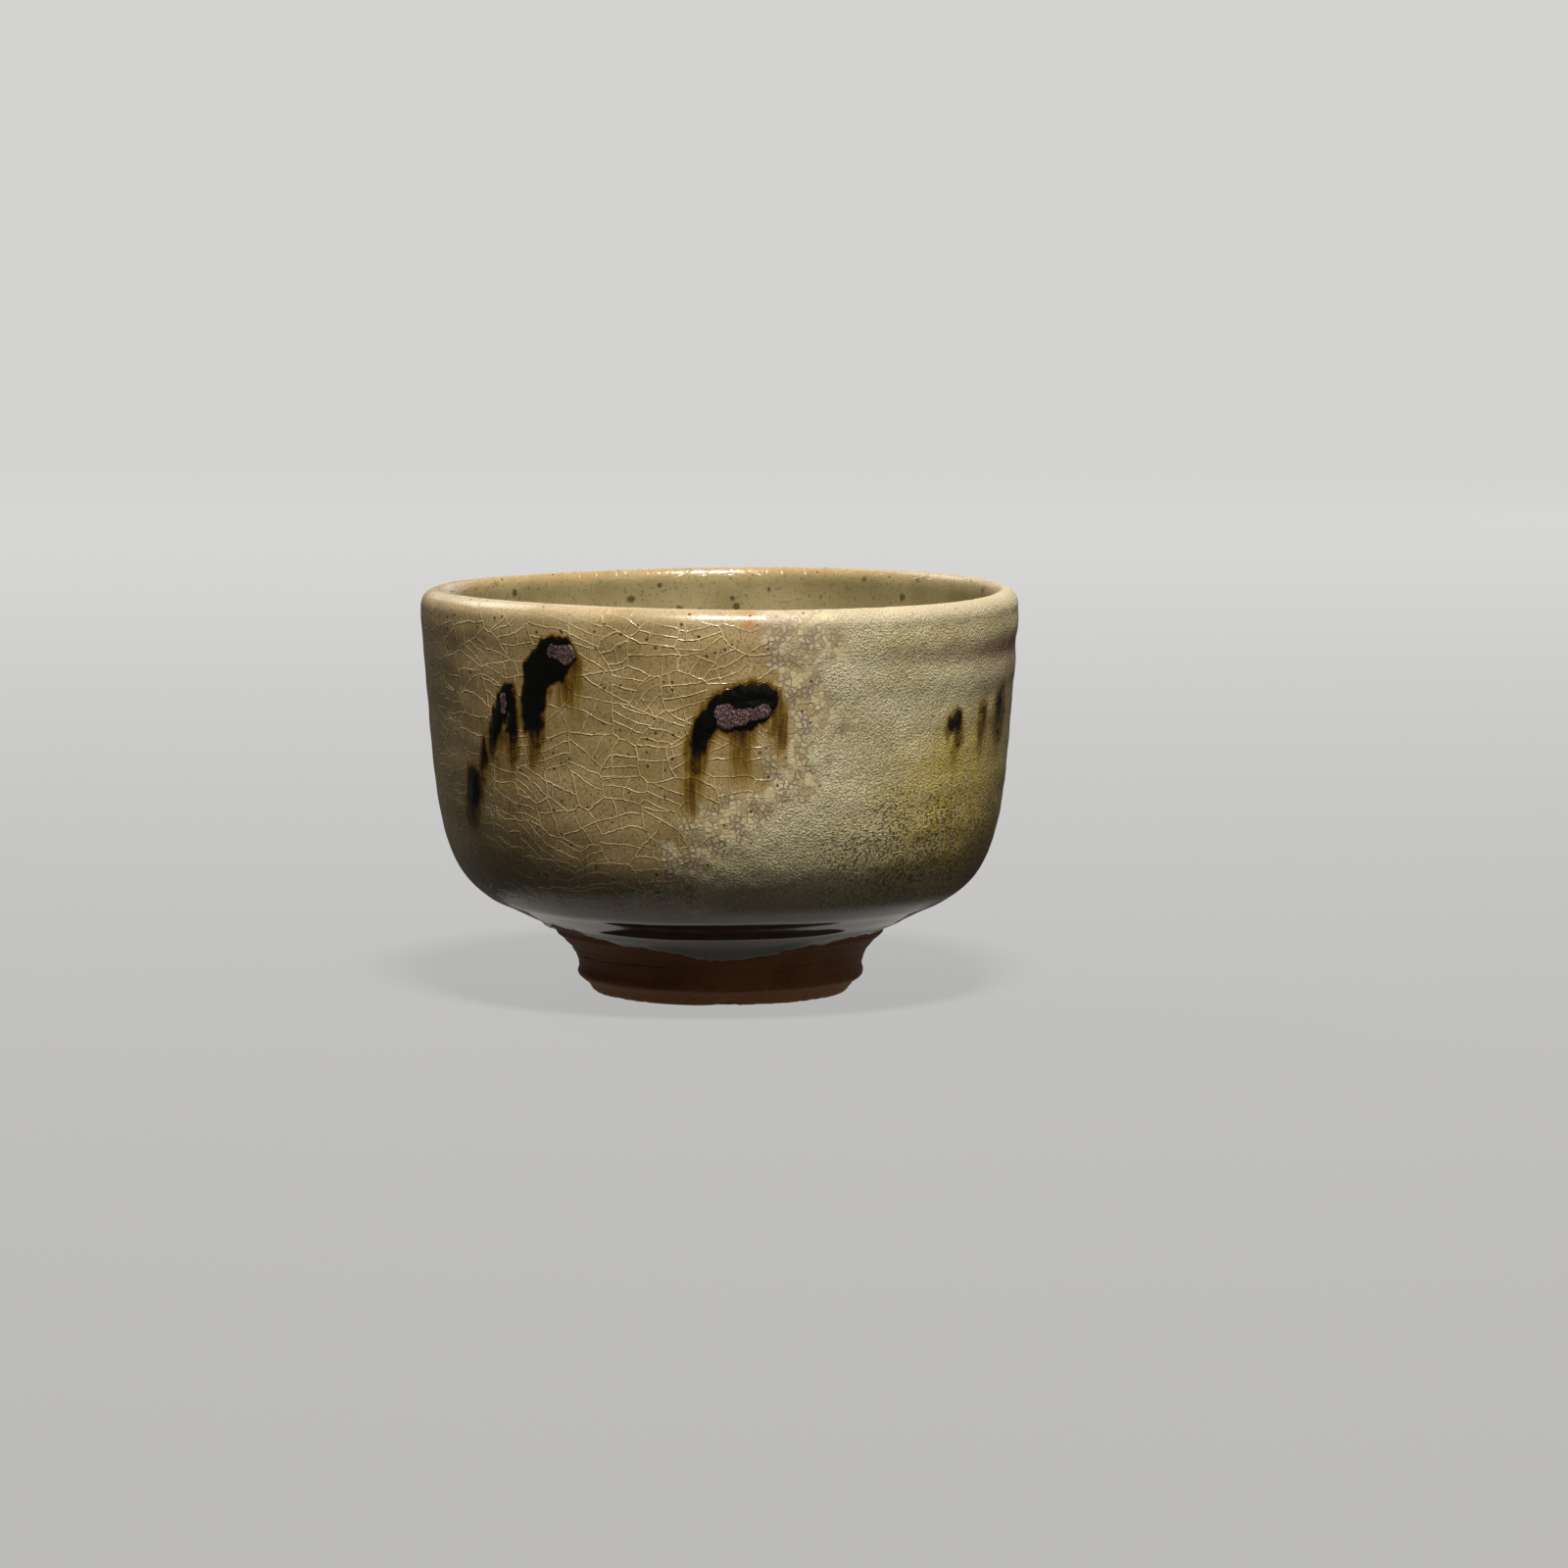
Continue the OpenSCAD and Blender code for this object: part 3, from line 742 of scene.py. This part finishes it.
# Of the sage colours, the second is painted shade in the dry glaze's hollows and the third painted highlight
# on its crests
SAGE, SAGE_PAINTED_SHADE, SAGE_PAINTED_HIGHLIGHT = ((168, 158, 122), (187, 178, 145)), (128, 118, 76), (214, 206, 164)
YELLOW, PIT, PURPLE = (188, 163, 63), (54, 49, 30), (122, 86, 62)
OLIVE, FRECKLE, BLOT = ((128, 116, 80), (147, 134, 97)), (88, 78, 46), (52, 44, 22)
CREAM, AMBER, RUST = (174, 159, 134), (162, 131, 84), (168, 104, 50)
DOT, POOL = (46, 32, 20), (66, 58, 36)
MAUVE, SPARK = ((46, 28, 29), (76, 52, 51)), (160, 140, 138)
# The colours of iron from thin to thick, in the crackled glaze and in the dry glaze
IRON_AT = (0.0, 0.18, 0.36, 0.55, 0.74, 0.92)
IRON_WET = (150, 126, 76), (134, 108, 52), (106, 79, 24), (72, 50, 10), (24, 16, 7), (5, 6, 4)
IRON_DRY = (168, 152, 92), (148, 128, 52), (116, 92, 30), (78, 56, 22), (32, 24, 14), (9, 9, 7)

# A crackle cell's width and height in mm, and the mean of both for the width of its lines
CELL_WIDE, CELL_TALL, CELL_MEAN = 7.4, 6.2, 6.7


class Glaze(Paint):
    """The bowl's glaze: crackled, dry or inside, by the skin's masks, with the iron soaked into it."""

    def __init__(self, name):
        super().__init__(name)
        self.mm = self.scaled(self.add("TexCoord", out=3), 1 / MM)
        self.flat = self.scaled(self.add("UVMap", uv_map="glaze"), UV_MM)
        self.up = self.add("SeparateXYZ", {0: self.mm}, out=2)
        self.dry, self.spots, self.yellow, self.speck = self.attribute("zone")
        self.soak, self.purple, self.cream, self.amber = self.attribute("stain")
        self.inside, self.rust, self.gloss, self.crystal = self.attribute("more")
        self.matt = self.less(1.0, self.gloss)
        self.mottle = self.noise(self.mm, 1.6, 4.0, 0.62)
        self.dither = self.mul(self.less(self.mottle, 0.5), 0.9)

    def wander(self, scale, detail, size):
        """A random shift over the unrolled skin, size mm from side to side."""
        middle = (-0.5, -0.5, -0.5)
        return self.scaled(self.moved(self.noise(self.flat, scale, detail, out=1), middle), size)

    def cloud(self, colours, scale, detail, low, high):
        """Two colours in soft patches."""
        return self.mix(self.step(self.noise(self.mm, scale, detail), low, high), *colours)

    def cracks(self):
        """Distance in mm to the nearest crack: round a cell, its long one, one across, and one beside it."""
        way = self.moved(self.moved(self.flat, self.wander(0.07, 1.0, 6.0)), self.wander(0.45, 2.5, 0.9))
        way = self.times(way, (1 / CELL_WIDE, 1 / CELL_TALL, 0))
        net = {"flat": True, "spread": 0.8}
        rim = self.mul(self.cells(way, 1.0, "DISTANCE_TO_EDGE", **net), CELL_MEAN)
        home = self.cells(way, 1.0, out=2, **net)
        luck = self.chances(way, 1.0, **net)
        from_home = self.times(self.moved(way, self.scaled(home, -1.0)), (CELL_WIDE, CELL_TALL, 0))
        x, y = self.add("SeparateXYZ", {0: from_home}).node.outputs[:2]
        lean = self.less(self.mul(luck[0], 1.1), 0.55)
        v = self.plus(y, self.mul(x, lean), self.mul(self.less(luck[1], 0.5), 1.4))
        other = self.math("FRACT", self.mul(luck[2], 7.3))
        above = self.math("GREATER_THAN", v, 0.0)
        off = self.plus(luck[2], self.mul(above, self.less(other, luck[2])))
        u = self.plus(self.less(x, self.mul(y, lean)), self.mul(self.less(off, 0.5), 4.0))
        beside = self.size(self.less(self.size(v), 2.1))
        beside = self.plus(beside, self.step(other, 0.6, 0.64, 1.0, 0.0))
        return self.least(rim, self.size(v), self.size(u), beside)

    def crack_weight(self):
        """How strongly the cracks show: not in dry glaze, and little under iron, on the lip or inside."""
        weight = self.step(self.noise(self.flat, 0.3, 2.0), 0.36, 0.56, 0.5, 1.0)
        calm = self.math("SUBTRACT", 1.0, self.most(self.dry, self.mul(self.spots, 0.8)), clamp=True)
        return self.mul(weight, calm, self.matt, self.step(self.cream, 0.15, 0.5, 1.0, 0.12),
                        self.step(self.soak, 0.1, 0.6, 1.0, 0.35), self.less(1.0, self.mul(self.inside, 0.9)))

    def ground(self, line):
        """The crackled glaze, with its lines lightened: partly the cracks' own pale colour, partly painted
        highlight on their raised ridges.
        """
        fleck = self.noise(self.mm, 2.6, 3.0, 0.6)
        colour = self.cloud(GROUND, 0.09, 2.0, 0.35, 0.65)
        colour = self.mix(self.step(self.mottle, 0.34, 0.50, 0.6, 0.0), colour, MOTTLE)
        colour = self.mix(self.step(fleck, 0.36, 0.47, 0.65, 0.0), colour, FLECK)
        # Crack lines lightened: their own pale colour plus painted highlight on the raised ridges
        return self.mix(self.mul(line, 0.46), colour, CRACK_AND_HIGHLIGHT), fleck

    def border(self, fleck):
        """The cream spots on lavender where the crackled glaze meets the dry glaze, and their height."""
        warped = self.moved(self.flat, self.wander(1.2, 1.0, 0.7))
        spot = self.cells(warped, 0.86, "DISTANCE_TO_EDGE", flat=True)
        tone = self.chances(warped, 0.86, flat=True)[0]
        lilac = self.cloud(LILAC, 0.35, 3.0, 0.46, 0.66)
        lilac = self.mix(self.step(self.up, 42.0, 66.0, 0.0, 0.3), lilac, LILAC_TOP)
        cell = self.mix(self.step(tone, 0.1, 0.8), *SPOT)
        patchy = self.step(self.noise(self.flat, 0.25, 2.0), 0.36, 0.64, 0.10, -0.16)
        edge = self.plus(spot, patchy, self.mul(fleck, 0.12))
        return self.mix(self.step(edge, 0.08, 0.24), lilac, cell), self.step(spot, 0.0, 0.2)

    def sage(self, grain):
        """The dry glaze: sage, darker in its grain's hollows as painted shade and lighter on its crests as
        painted highlight, yellow and dark pits lower down.
        """
        colour = self.cloud(SAGE, 0.08, 3.0, 0.35, 0.68)
        patches = self.step(self.noise(self.mm, 0.3, 4.0, 0.6), 0.3, 0.62, 0.5, 1.0)
        colour = self.mix(self.mul(self.yellow, patches), colour, YELLOW)
        # Painted shade: darker where the grain's relief is low
        colour = self.mix(self.step(grain, 0.38, 0.50, 0.5, 0.0), colour, SAGE_PAINTED_SHADE)
        # Painted highlight: lighter where the grain's relief is high
        colour = self.mix(self.step(grain, 0.53, 0.66, 0.0, 0.5), colour, SAGE_PAINTED_HIGHLIGHT)
        pits = self.plus(self.noise(self.mm, 1.5, 2.5, 0.6), self.mul(self.speck, 0.11))
        pits = self.mul(self.step(self.speck, 0.05, 0.5), self.step(pits, 0.59, 0.66), 0.75)
        return self.mix(pits, colour, PIT)

    def olive(self):
        """The inside, with its freckles and soft dark blots."""
        mm = self.mm
        colour = self.cloud(OLIVE, 0.07, 4.0, 0.34, 0.66)
        colour = self.mix(self.step(self.noise(mm, 1.3, 3.0, 0.6), 0.33, 0.46, 0.5, 0.0), colour, FRECKLE)
        reach = self.step(self.chances(mm, 0.26)[0], 0.2, 1.0, 0.24, 0.46)
        blot = self.less(self.plus(self.cells(mm, 0.26), self.mul(self.noise(mm, 0.6, 3.0), 0.45)), reach)
        return self.mix(self.step(blot, -0.06, 0.09, 0.8, 0.0), colour, BLOT)

    def dots(self, colour):
        """Small iron specks all over, fewer where the glaze is dry or inside."""
        reach = self.step(self.chances(self.mm, 0.6)[0], 0.4, 1.0, 0.03, 0.19)
        dark = self.step(self.less(self.cells(self.mm, 0.6), reach), 0.0, 0.035, 1.0, 0.0)
        share = self.step(self.most(self.dry, self.inside), 0.0, 1.0, 0.85, 0.35)
        return self.mix(self.mul(dark, share), colour, DOT)

    def drawn_iron(self):
        """The soaked iron, drawn out in fine streaks where it is thin."""
        thread = self.noise(self.times(self.flat, (1.9, 0.14, 0)), 1.0, 3.0, 0.6)
        streaks = self.step(thread, 0.3, 0.66, -0.3, 0.16)
        thin = self.step(self.soak, 0.45, 0.8, 1.0, 0.35)
        return self.mul(self.soak, self.plus(self.mul(streaks, thin), 1.0))

    def iron(self, colour, drawn):
        """Amber where iron is thin, black where it is thick."""
        wet = self.ramp(drawn, list(zip(IRON_AT, IRON_WET)))
        dry = self.ramp(drawn, list(zip(IRON_AT, IRON_DRY)))
        tint = self.mix(self.step(self.dry, 0.2, 0.9), wet, dry)
        return self.mix(self.step(drawn, 0.02, 0.36), colour, tint)

    def mauve(self, spark):
        """The mauve patches, with their pale crystals."""
        colour = self.cloud(MAUVE, 2.6, 2.0, 0.35, 0.65)
        return self.mix(self.mul(spark, 0.6), colour, SPARK)

    def roughness(self, ridge, drawn):
        """Rough where dry and at cracks, smooth where glossy, black or inside."""
        rough = self.most(self.step(self.dry, 0.0, 1.0, 0.24, 0.66), self.mul(ridge, 0.6))
        smooth = (self.gloss, 0.07), (self.step(drawn, 0.45, 0.8), 0.26), (self.inside, 0.12)
        limits = [self.step(mask, 0.0, 1.0, 0.7, smoothest) for mask, smoothest in smooth]
        return self.most(self.least(rough, *limits), self.mul(self.crystal, 0.4))

    def bumps(self, ridge, grain, spot_height, spark):
        """Height in mm of what is too fine for the meshes."""
        skin = self.mul(self.step(self.mottle, 0.3, 0.7), self.matt, 0.012)
        grains, shards = self.mul(self.dry, grain, 0.36), self.mul(self.crystal, spark, 0.05)
        spots = self.mul(self.spots, spot_height, 0.02)
        return self.mul(self.plus(self.mul(ridge, 0.11), skin, grains, spots, shards), self.matt)


def glaze_paint(name, **fixed):
    """One glaze material; what differs from piece to piece is in the piece's masks."""
    g = Glaze(name)
    near, weight = g.cracks(), g.crack_weight()
    line = g.mul(g.step(near, 0.02, 0.15, 1.0, 0.0), weight)
    ridge = g.mul(g.step(near, 0.0, 0.24, 1.0, 0.0), weight)
    grain = g.noise(g.mm, 2.4, 2.0, 0.55)
    spark = g.step(g.chances(g.mm, 4.2)[0], 0.62, 1.0)
    drawn = g.drawn_iron()

    colour, fleck = g.ground(line)
    border, spot_height = g.border(fleck)
    colour = g.mix(g.step(g.plus(g.spots, g.dither), 0.25, 0.75), colour, border)
    colour = g.mix(g.step(g.plus(g.dry, g.dither), 0.2, 0.8), colour, g.sage(grain))
    colour = g.mix(g.mul(g.purple, g.step(g.mottle, 0.3, 0.6, 0.55, 1.0)), colour, PURPLE)
    colour = g.mix(g.mul(g.cream, 0.7), colour, CREAM)
    colour = g.mix(g.inside, colour, g.olive())
    colour = g.mix(g.mul(g.amber, 0.65), colour, AMBER)
    colour = g.mix(g.mul(g.rust, g.step(g.noise(g.mm, 1.8, 2.0), 0.40, 0.54)), colour, RUST)
    colour = g.mix(g.mul(g.gloss, 0.9), g.dots(colour), POOL)
    colour = g.mix(g.crystal, g.iron(colour, drawn), g.mauve(spark))
    hip = g.step(g.up, 22.0, 35.0, 0.46, 1.0)
    colour = g.mix(1.0, colour, g.add("CombineColor", {0: hip, 1: hip, 2: hip}), "MULTIPLY")
    return g.finish(colour, g.roughness(ridge, drawn), g.bumps(ridge, grain, spot_height, spark), **fixed)


# Bare clay: a paler band round the foot's base, painted light from below, dark and pale grains, and iron
# specks
BASE_PAINTED_LIGHT, GRAIN_DARK, GRAIN_PALE = (176, 126, 84), (62, 40, 22), (182, 136, 96)
RING_DARK, IRON_SPECK = (60, 38, 22), (28, 18, 13)


def clay_paint(name, dark, light, band=False):
    """Bare stoneware with grog, iron specks and a throwing direction."""
    p = Paint(name)
    mm = p.scaled(p.add("TexCoord", out=3), 1 / MM)
    z = p.add("SeparateXYZ", {0: mm}, out=2)
    ring = p.noise(p.times(mm, (0.12, 0.12, 1.6)), 1.0, 3.0)
    broad = p.noise(mm, 0.13, 3.0)
    grain = p.noise(mm, 2.1, 4.0, 0.65)
    colour = p.mix(p.step(broad, 0.32, 0.68), dark, light)
    colour = p.mix(p.step(ring, 0.35, 0.6, 0.22, 0.0), colour, RING_DARK)
    if band:
        # Painted light from below: the foot's base is paler
        colour = p.mix(p.step(p.plus(z, p.mul(broad, 1.2)), 3.2, 4.2, 0.6, 0.0), colour, BASE_PAINTED_LIGHT)
    colour = p.mix(p.step(grain, 0.34, 0.46, 0.5, 0.0), colour, GRAIN_DARK)
    colour = p.mix(p.step(grain, 0.62, 0.74, 0.0, 0.4), colour, GRAIN_PALE)
    dot = p.step(p.cells(mm, 0.5), 0.05, 0.13, 1.0, 0.0)
    colour = p.mix(p.mul(dot, 0.8), colour, IRON_SPECK)
    height = p.plus(p.mul(grain, 0.14), p.mul(ring, 0.05))
    return p.finish(colour, 0.7, height, **{"Specular IOR Level": 0.2})


ash = glaze_paint("ash_glaze")
lip_glaze = glaze_paint("lip_glaze")
inner_glaze = glaze_paint("inner_glaze")
iron_glaze = glaze_paint("iron_glaze", **{"Specular IOR Level": 0.3})
mauve_crystal = glaze_paint("mauve_crystal")
bare_clay = clay_paint("bare_clay", (98, 60, 30), (116, 75, 42))
foot_clay = clay_paint("foot_clay", (94, 58, 28), (112, 72, 40), band=True)


def finish_piece(obj, node, material):
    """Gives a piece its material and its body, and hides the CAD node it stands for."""
    obj.data.materials.append(material)
    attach(obj, "root")
    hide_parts(node)


# ---- the coats

outer_coat = skin_piece("outer_glaze_coat", columns=640, skin_rows=114, back_rows=34, backing=COAT_T + 0.03)
finish_piece(outer_coat, "outer_glaze", ash)
lip_coat = skin_piece("lip_glaze_coat", columns=640, skin_rows=44, back_rows=24, backing=0.55)
finish_piece(lip_coat, "lip_glaze", lip_glaze)
inner_coat = skin_piece("inner_glaze_coat", columns=512, skin_rows=150, back_rows=24, backing=0.45)
finish_piece(inner_coat, "inner_glaze", inner_glaze)

# ---- iron daubs and mauve patches

DAUB_UP, PATCH_UP = 0.24, 0.05  # mm that a daub stands over the coat, and a patch over its daub
DAUB_STEP, PATCH_STEP = 0.25, 0.14  # mm between their points


def daub_height(d, turn, s):
    """Height in mm over the coat, at a distance d outside the outline."""
    lumps = 0.012 * pick(FINE, turn, s) * ease(0, -1, d)
    return DAUB_UP * ease(0.35, -1.6, d) - 0.06 * ease(0.1, REACH, d) + lumps


def patch_height(d, turn, s):
    """Height in mm over the coat, at a distance d outside the outline."""
    lumps = 0.008 * pick(GRAIN, turn * 3, s * 3)
    return DAUB_UP + PATCH_UP * ease(0.3, -0.5, d) + lumps - 0.2 * ease(0.1, REACH, d)


for daub in DAUBS:
    piece = patch_piece("iron_daub_" + daub, daub, "iron", daub_height, DAUB_STEP)
    finish_piece(piece, "iron_" + daub, iron_glaze)
for daub in DAUBS:
    if DAUBS[daub][3]:
        piece = patch_piece("mauve_patch_" + daub, daub, "mauve", patch_height, PATCH_STEP)
        finish_piece(piece, "mauve_" + daub, mauve_crystal)

# ---- the clay under the glaze, and the foot

RING_R = 24  # mm from the axis, inside the standing ring: between the hollow and the outer side
foot = rings("foot_ring")
neck_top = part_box("foot_ring")[1].z / MM
hole = by_height(foot[foot[:, 0] < RING_R])
foot_out = by_height(foot[foot[:, 0] > RING_R])


def turned(path, count, bulge, closed=False):
    """Rows of points round the axis, moved out by bulge(turn, r, z) mm; a closed path joins its own start."""
    t = turns(count)[None, :]
    n = normals_of(np.r_[path[-1:], path, path[:1]])[1:-1] if closed else normals_of(path)
    r, z = path[:, :1], path[:, 1:]
    move = bulge(t, r, z)
    out = np.maximum(r + move * n[:, :1], 0) * (r > 1e-6)
    return spun(t, *warp(t, out, z + move * n[:, 1:])) * MM


def clay_bulge(t, r, z):
    """Trimming lines over the foot, and the spiral and small boss of the hollow's ceiling."""
    trimmed = 0.05 * np.sin(2 * pi * (z / 1.9 + t / 360))
    trimmed = trimmed + 0.05 * pick(PALM, t, z) + 0.02 * pick(FINE, t, z * 2)
    h = ease(16, 13, z) * (r > RING_R) * trimmed
    ceiling = (z < neck_top + 0.01) & (r < 19.6)
    spiral = np.sin(2 * pi * (r / 2.4 - t / 360)) * ease(1.5, 3.5, r) * ease(19.4, 17.5, r)
    h = h + ceiling * (0.13 * spiral + 0.03 * pick(FINE, t, 60 + r))
    return h + ceiling * 0.55 * hump(r, 0, 1.5)


# The clay's outline, from the middle of the hollow's ceiling, up outside, over the lip, and down to the floor
ceiling_path = np.c_[np.linspace(0, hole[-1, 0], 60), np.full(60, neck_top)]
joint_path = np.c_[np.linspace(hole[-1, 0], clay_out[0, 0], 8), np.full(8, neck_top)][1:-1]
up_path = along(clay_out, 0.35)
clay_lip = shared(clay, roll)
mid_r = clay_lip[np.argmax(clay_lip[:, 1]), 0]
lip_outside = by_height(clay_lip[clay_lip[:, 0] >= mid_r])
lip_inside = by_height(clay_lip[clay_lip[:, 0] < mid_r])[::-1]
clay_in = by_height(shared(clay, lining))[::-1]
hidden = np.r_[lip_outside[1:], lip_inside, clay_in[1:]]
clay_path = np.r_[ceiling_path, joint_path, up_path, hidden]
clay_body = wrapped("clay_body", turned(clay_path, 512, clay_bulge), arc(clay_path), shut=False)
finish_piece(clay_body, "clay_bowl", bare_clay)

# The foot's outline, up outside, in over the joint, down inside, and out under the base
foot_path = np.r_[along(foot_out, 0.3, smooth=False)[:-1], np.linspace(foot_out[-1], hole[-1], 12)[:-1],
                  np.linspace(hole[-1], hole[0], 20)[:-1], np.linspace(hole[0], foot_out[0], 16)[:-1]]
CHIP_TURN, CHIP_Z, CHIP_DEEP = 4, 0.2, 0.7


def foot_bulge(t, r, z):
    """The foot's bead and step, its trimming lines, its worn base, and a small chip."""
    outer = (r > RING_R) * ease(8, 7, z)
    h = outer * (0.20 * hump(z, 4.1, 0.7) * (1 + 0.3 * pick(FINGER, t, 20)) - 0.08 * hump(z, 5.4, 0.8))
    h = h + outer * (0.02 * pick(FINE, t, 30 + z) + 0.05 * pick(PALM, t, 30 + z))
    h = h + 0.035 * np.sin(2 * pi * (z / 1.6 + t / 360)) * ease(0, 1.0, z) * ease(8, 6.5, z)
    base = ease(0.6, 0.0, z)
    h = h + base * (0.02 * pick(FINE, t, 40 + r) - 0.05)
    chip = hump(np.hypot((signed(t) - CHIP_TURN) / 5.5, (z - CHIP_Z) / 1.1), 0, 0.8) * (r > RING_R)
    return h - CHIP_DEEP * chip * (1 + 0.3 * pick(FINE, t, z * 3))


foot_rows = turned(foot_path, 480, foot_bulge, closed=True)
foot_rows[..., 2] = np.maximum(foot_rows[..., 2], 0)
foot_ring = wrapped("foot_ring_clay", foot_rows, arc(foot_path))
finish_piece(foot_ring, "foot_ring", foot_clay)

# The points at the axis become one
for obj in (clay_body, inner_coat):
    bm = bmesh.new()
    bm.from_mesh(obj.data)
    near = [v for v in bm.verts if v.co.xy.length < 2e-5]
    bmesh.ops.remove_doubles(bm, verts=near, dist=4e-5)
    bm.to_mesh(obj.data)
    bm.free()

# ---- camera, floor and light, in metres

camera_data = bpy.data.cameras.new("camera")
camera_data.lens, camera_data.sensor_width = 142.9, 36
camera = shown("camera", camera_data)
camera.location = (0.0129, -1.25, 0.17484)
camera.rotation_euler = (radians(83.916), 0, 0)
bpy.context.scene.camera = camera

# The floor is flat under the bowl, and bends up into a wall all round
FLAT_R, BEND_R, WALL_Z, FLOOR_Z = 2.2, 1.1, 3.4, -0.0003
CARD_R, CARD_Z = 0.06, -0.0002


def backdrop_paint():
    """A matt floor that glows more toward its back."""
    p = Paint("backdrop")
    depth = p.add("SeparateXYZ", {0: p.add("TexCoord", out=3)}, out=1)
    matt = {"Base Color": (0.045, 0.045, 0.045, 1), "Roughness": 1.0, "Specular IOR Level": 0.0}
    glow = {"Emission Color": (1, 0.995, 0.985, 1), "Emission Strength": p.step(depth, -0.9, 1.6, 0.37, 0.64)}
    return p.output(p.add("BsdfPrincipled", {**matt, **glow}))


def card_paint():
    """An even, warm glow."""
    p = Paint("card")
    return p.output(p.add("Emission", {0: (1.0, 0.95, 0.88, 1), 1: 0.40}))


flat = [(r, FLOOR_Z) for r in np.linspace(0, FLAT_R, 12)]
bend = [(FLAT_R + BEND_R * np.sin(a), BEND_R - BEND_R * np.cos(a)) for a in np.linspace(0.1, pi / 2, 14)]
dish = np.array([*flat, *bend, (FLAT_R + BEND_R, 2 * BEND_R), (FLAT_R + BEND_R, WALL_Z)])
points = spun(np.arange(96) * 360 / 96, dish[:, :1], dish[:, 1:])
floor_mesh = bpy.data.meshes.new("floor")
floor_mesh.from_pydata(points.reshape(-1, 3).tolist(), [], grid_quads(*points.shape[:2]).tolist())
floor_mesh.shade_smooth()
floor_mesh.materials.append(backdrop_paint())
floor = shown("floor", floor_mesh)
floor.visible_diffuse = False
floor.visible_glossy = False

# A pale card on the floor that only reflections see, so the glaze under the hip mirrors it
points = spun(np.arange(48) * 360 / 48, CARD_R, CARD_Z)
card_mesh = bpy.data.meshes.new("card")
card_mesh.from_pydata(points.tolist(), [], [tuple(range(len(points)))])
card_mesh.materials.append(card_paint())
card = shown("card", card_mesh)
card.visible_camera = card.visible_diffuse = card.visible_shadow = card.visible_transmission = False

world = bpy.data.worlds.new("studio")
world.use_nodes = True
background = world.node_tree.nodes["Background"].inputs
background["Color"].default_value = (1.0, 0.95, 0.87, 1)
background["Strength"].default_value = 0.075
bpy.context.scene.world = world

# Each light's name, place, size, power in watts, and colour
NEAR_WHITE = (1.0, 0.98, 0.95)
LIGHTS = [("key", (0.09, -0.65, 1.38), 0.32, 44.0, (1.0, 0.965, 0.91)),
          ("fill", (1.3, -1.2, 1.3), 1.2, 4.0, NEAR_WHITE),
          ("low", (0.5, -1.4, 0.22), 0.9, 0.7, (1.0, 0.86, 0.72)),
          ("back", (-0.4, 1.4, 0.9), 1.2, 3.0, NEAR_WHITE),
          ("edge", (-1.0, 0.9, 1.2), 0.8, 8.0, NEAR_WHITE),
          ("behind", (0.55, 1.45, 0.45), 0.9, 2.2, NEAR_WHITE)]
AIM = Vector((0, 0, 0.05))
for name, at, size, power, tint in LIGHTS:
    data = bpy.data.lights.new(name, "AREA")
    data.shape, data.size, data.energy, data.color = "DISK", size, power, tint
    light = shown(name, data)
    light.location = at
    light.rotation_euler = (AIM - Vector(at)).to_track_quat("-Z", "Y").to_euler()

bpy.context.scene.view_settings.view_transform = "Standard"
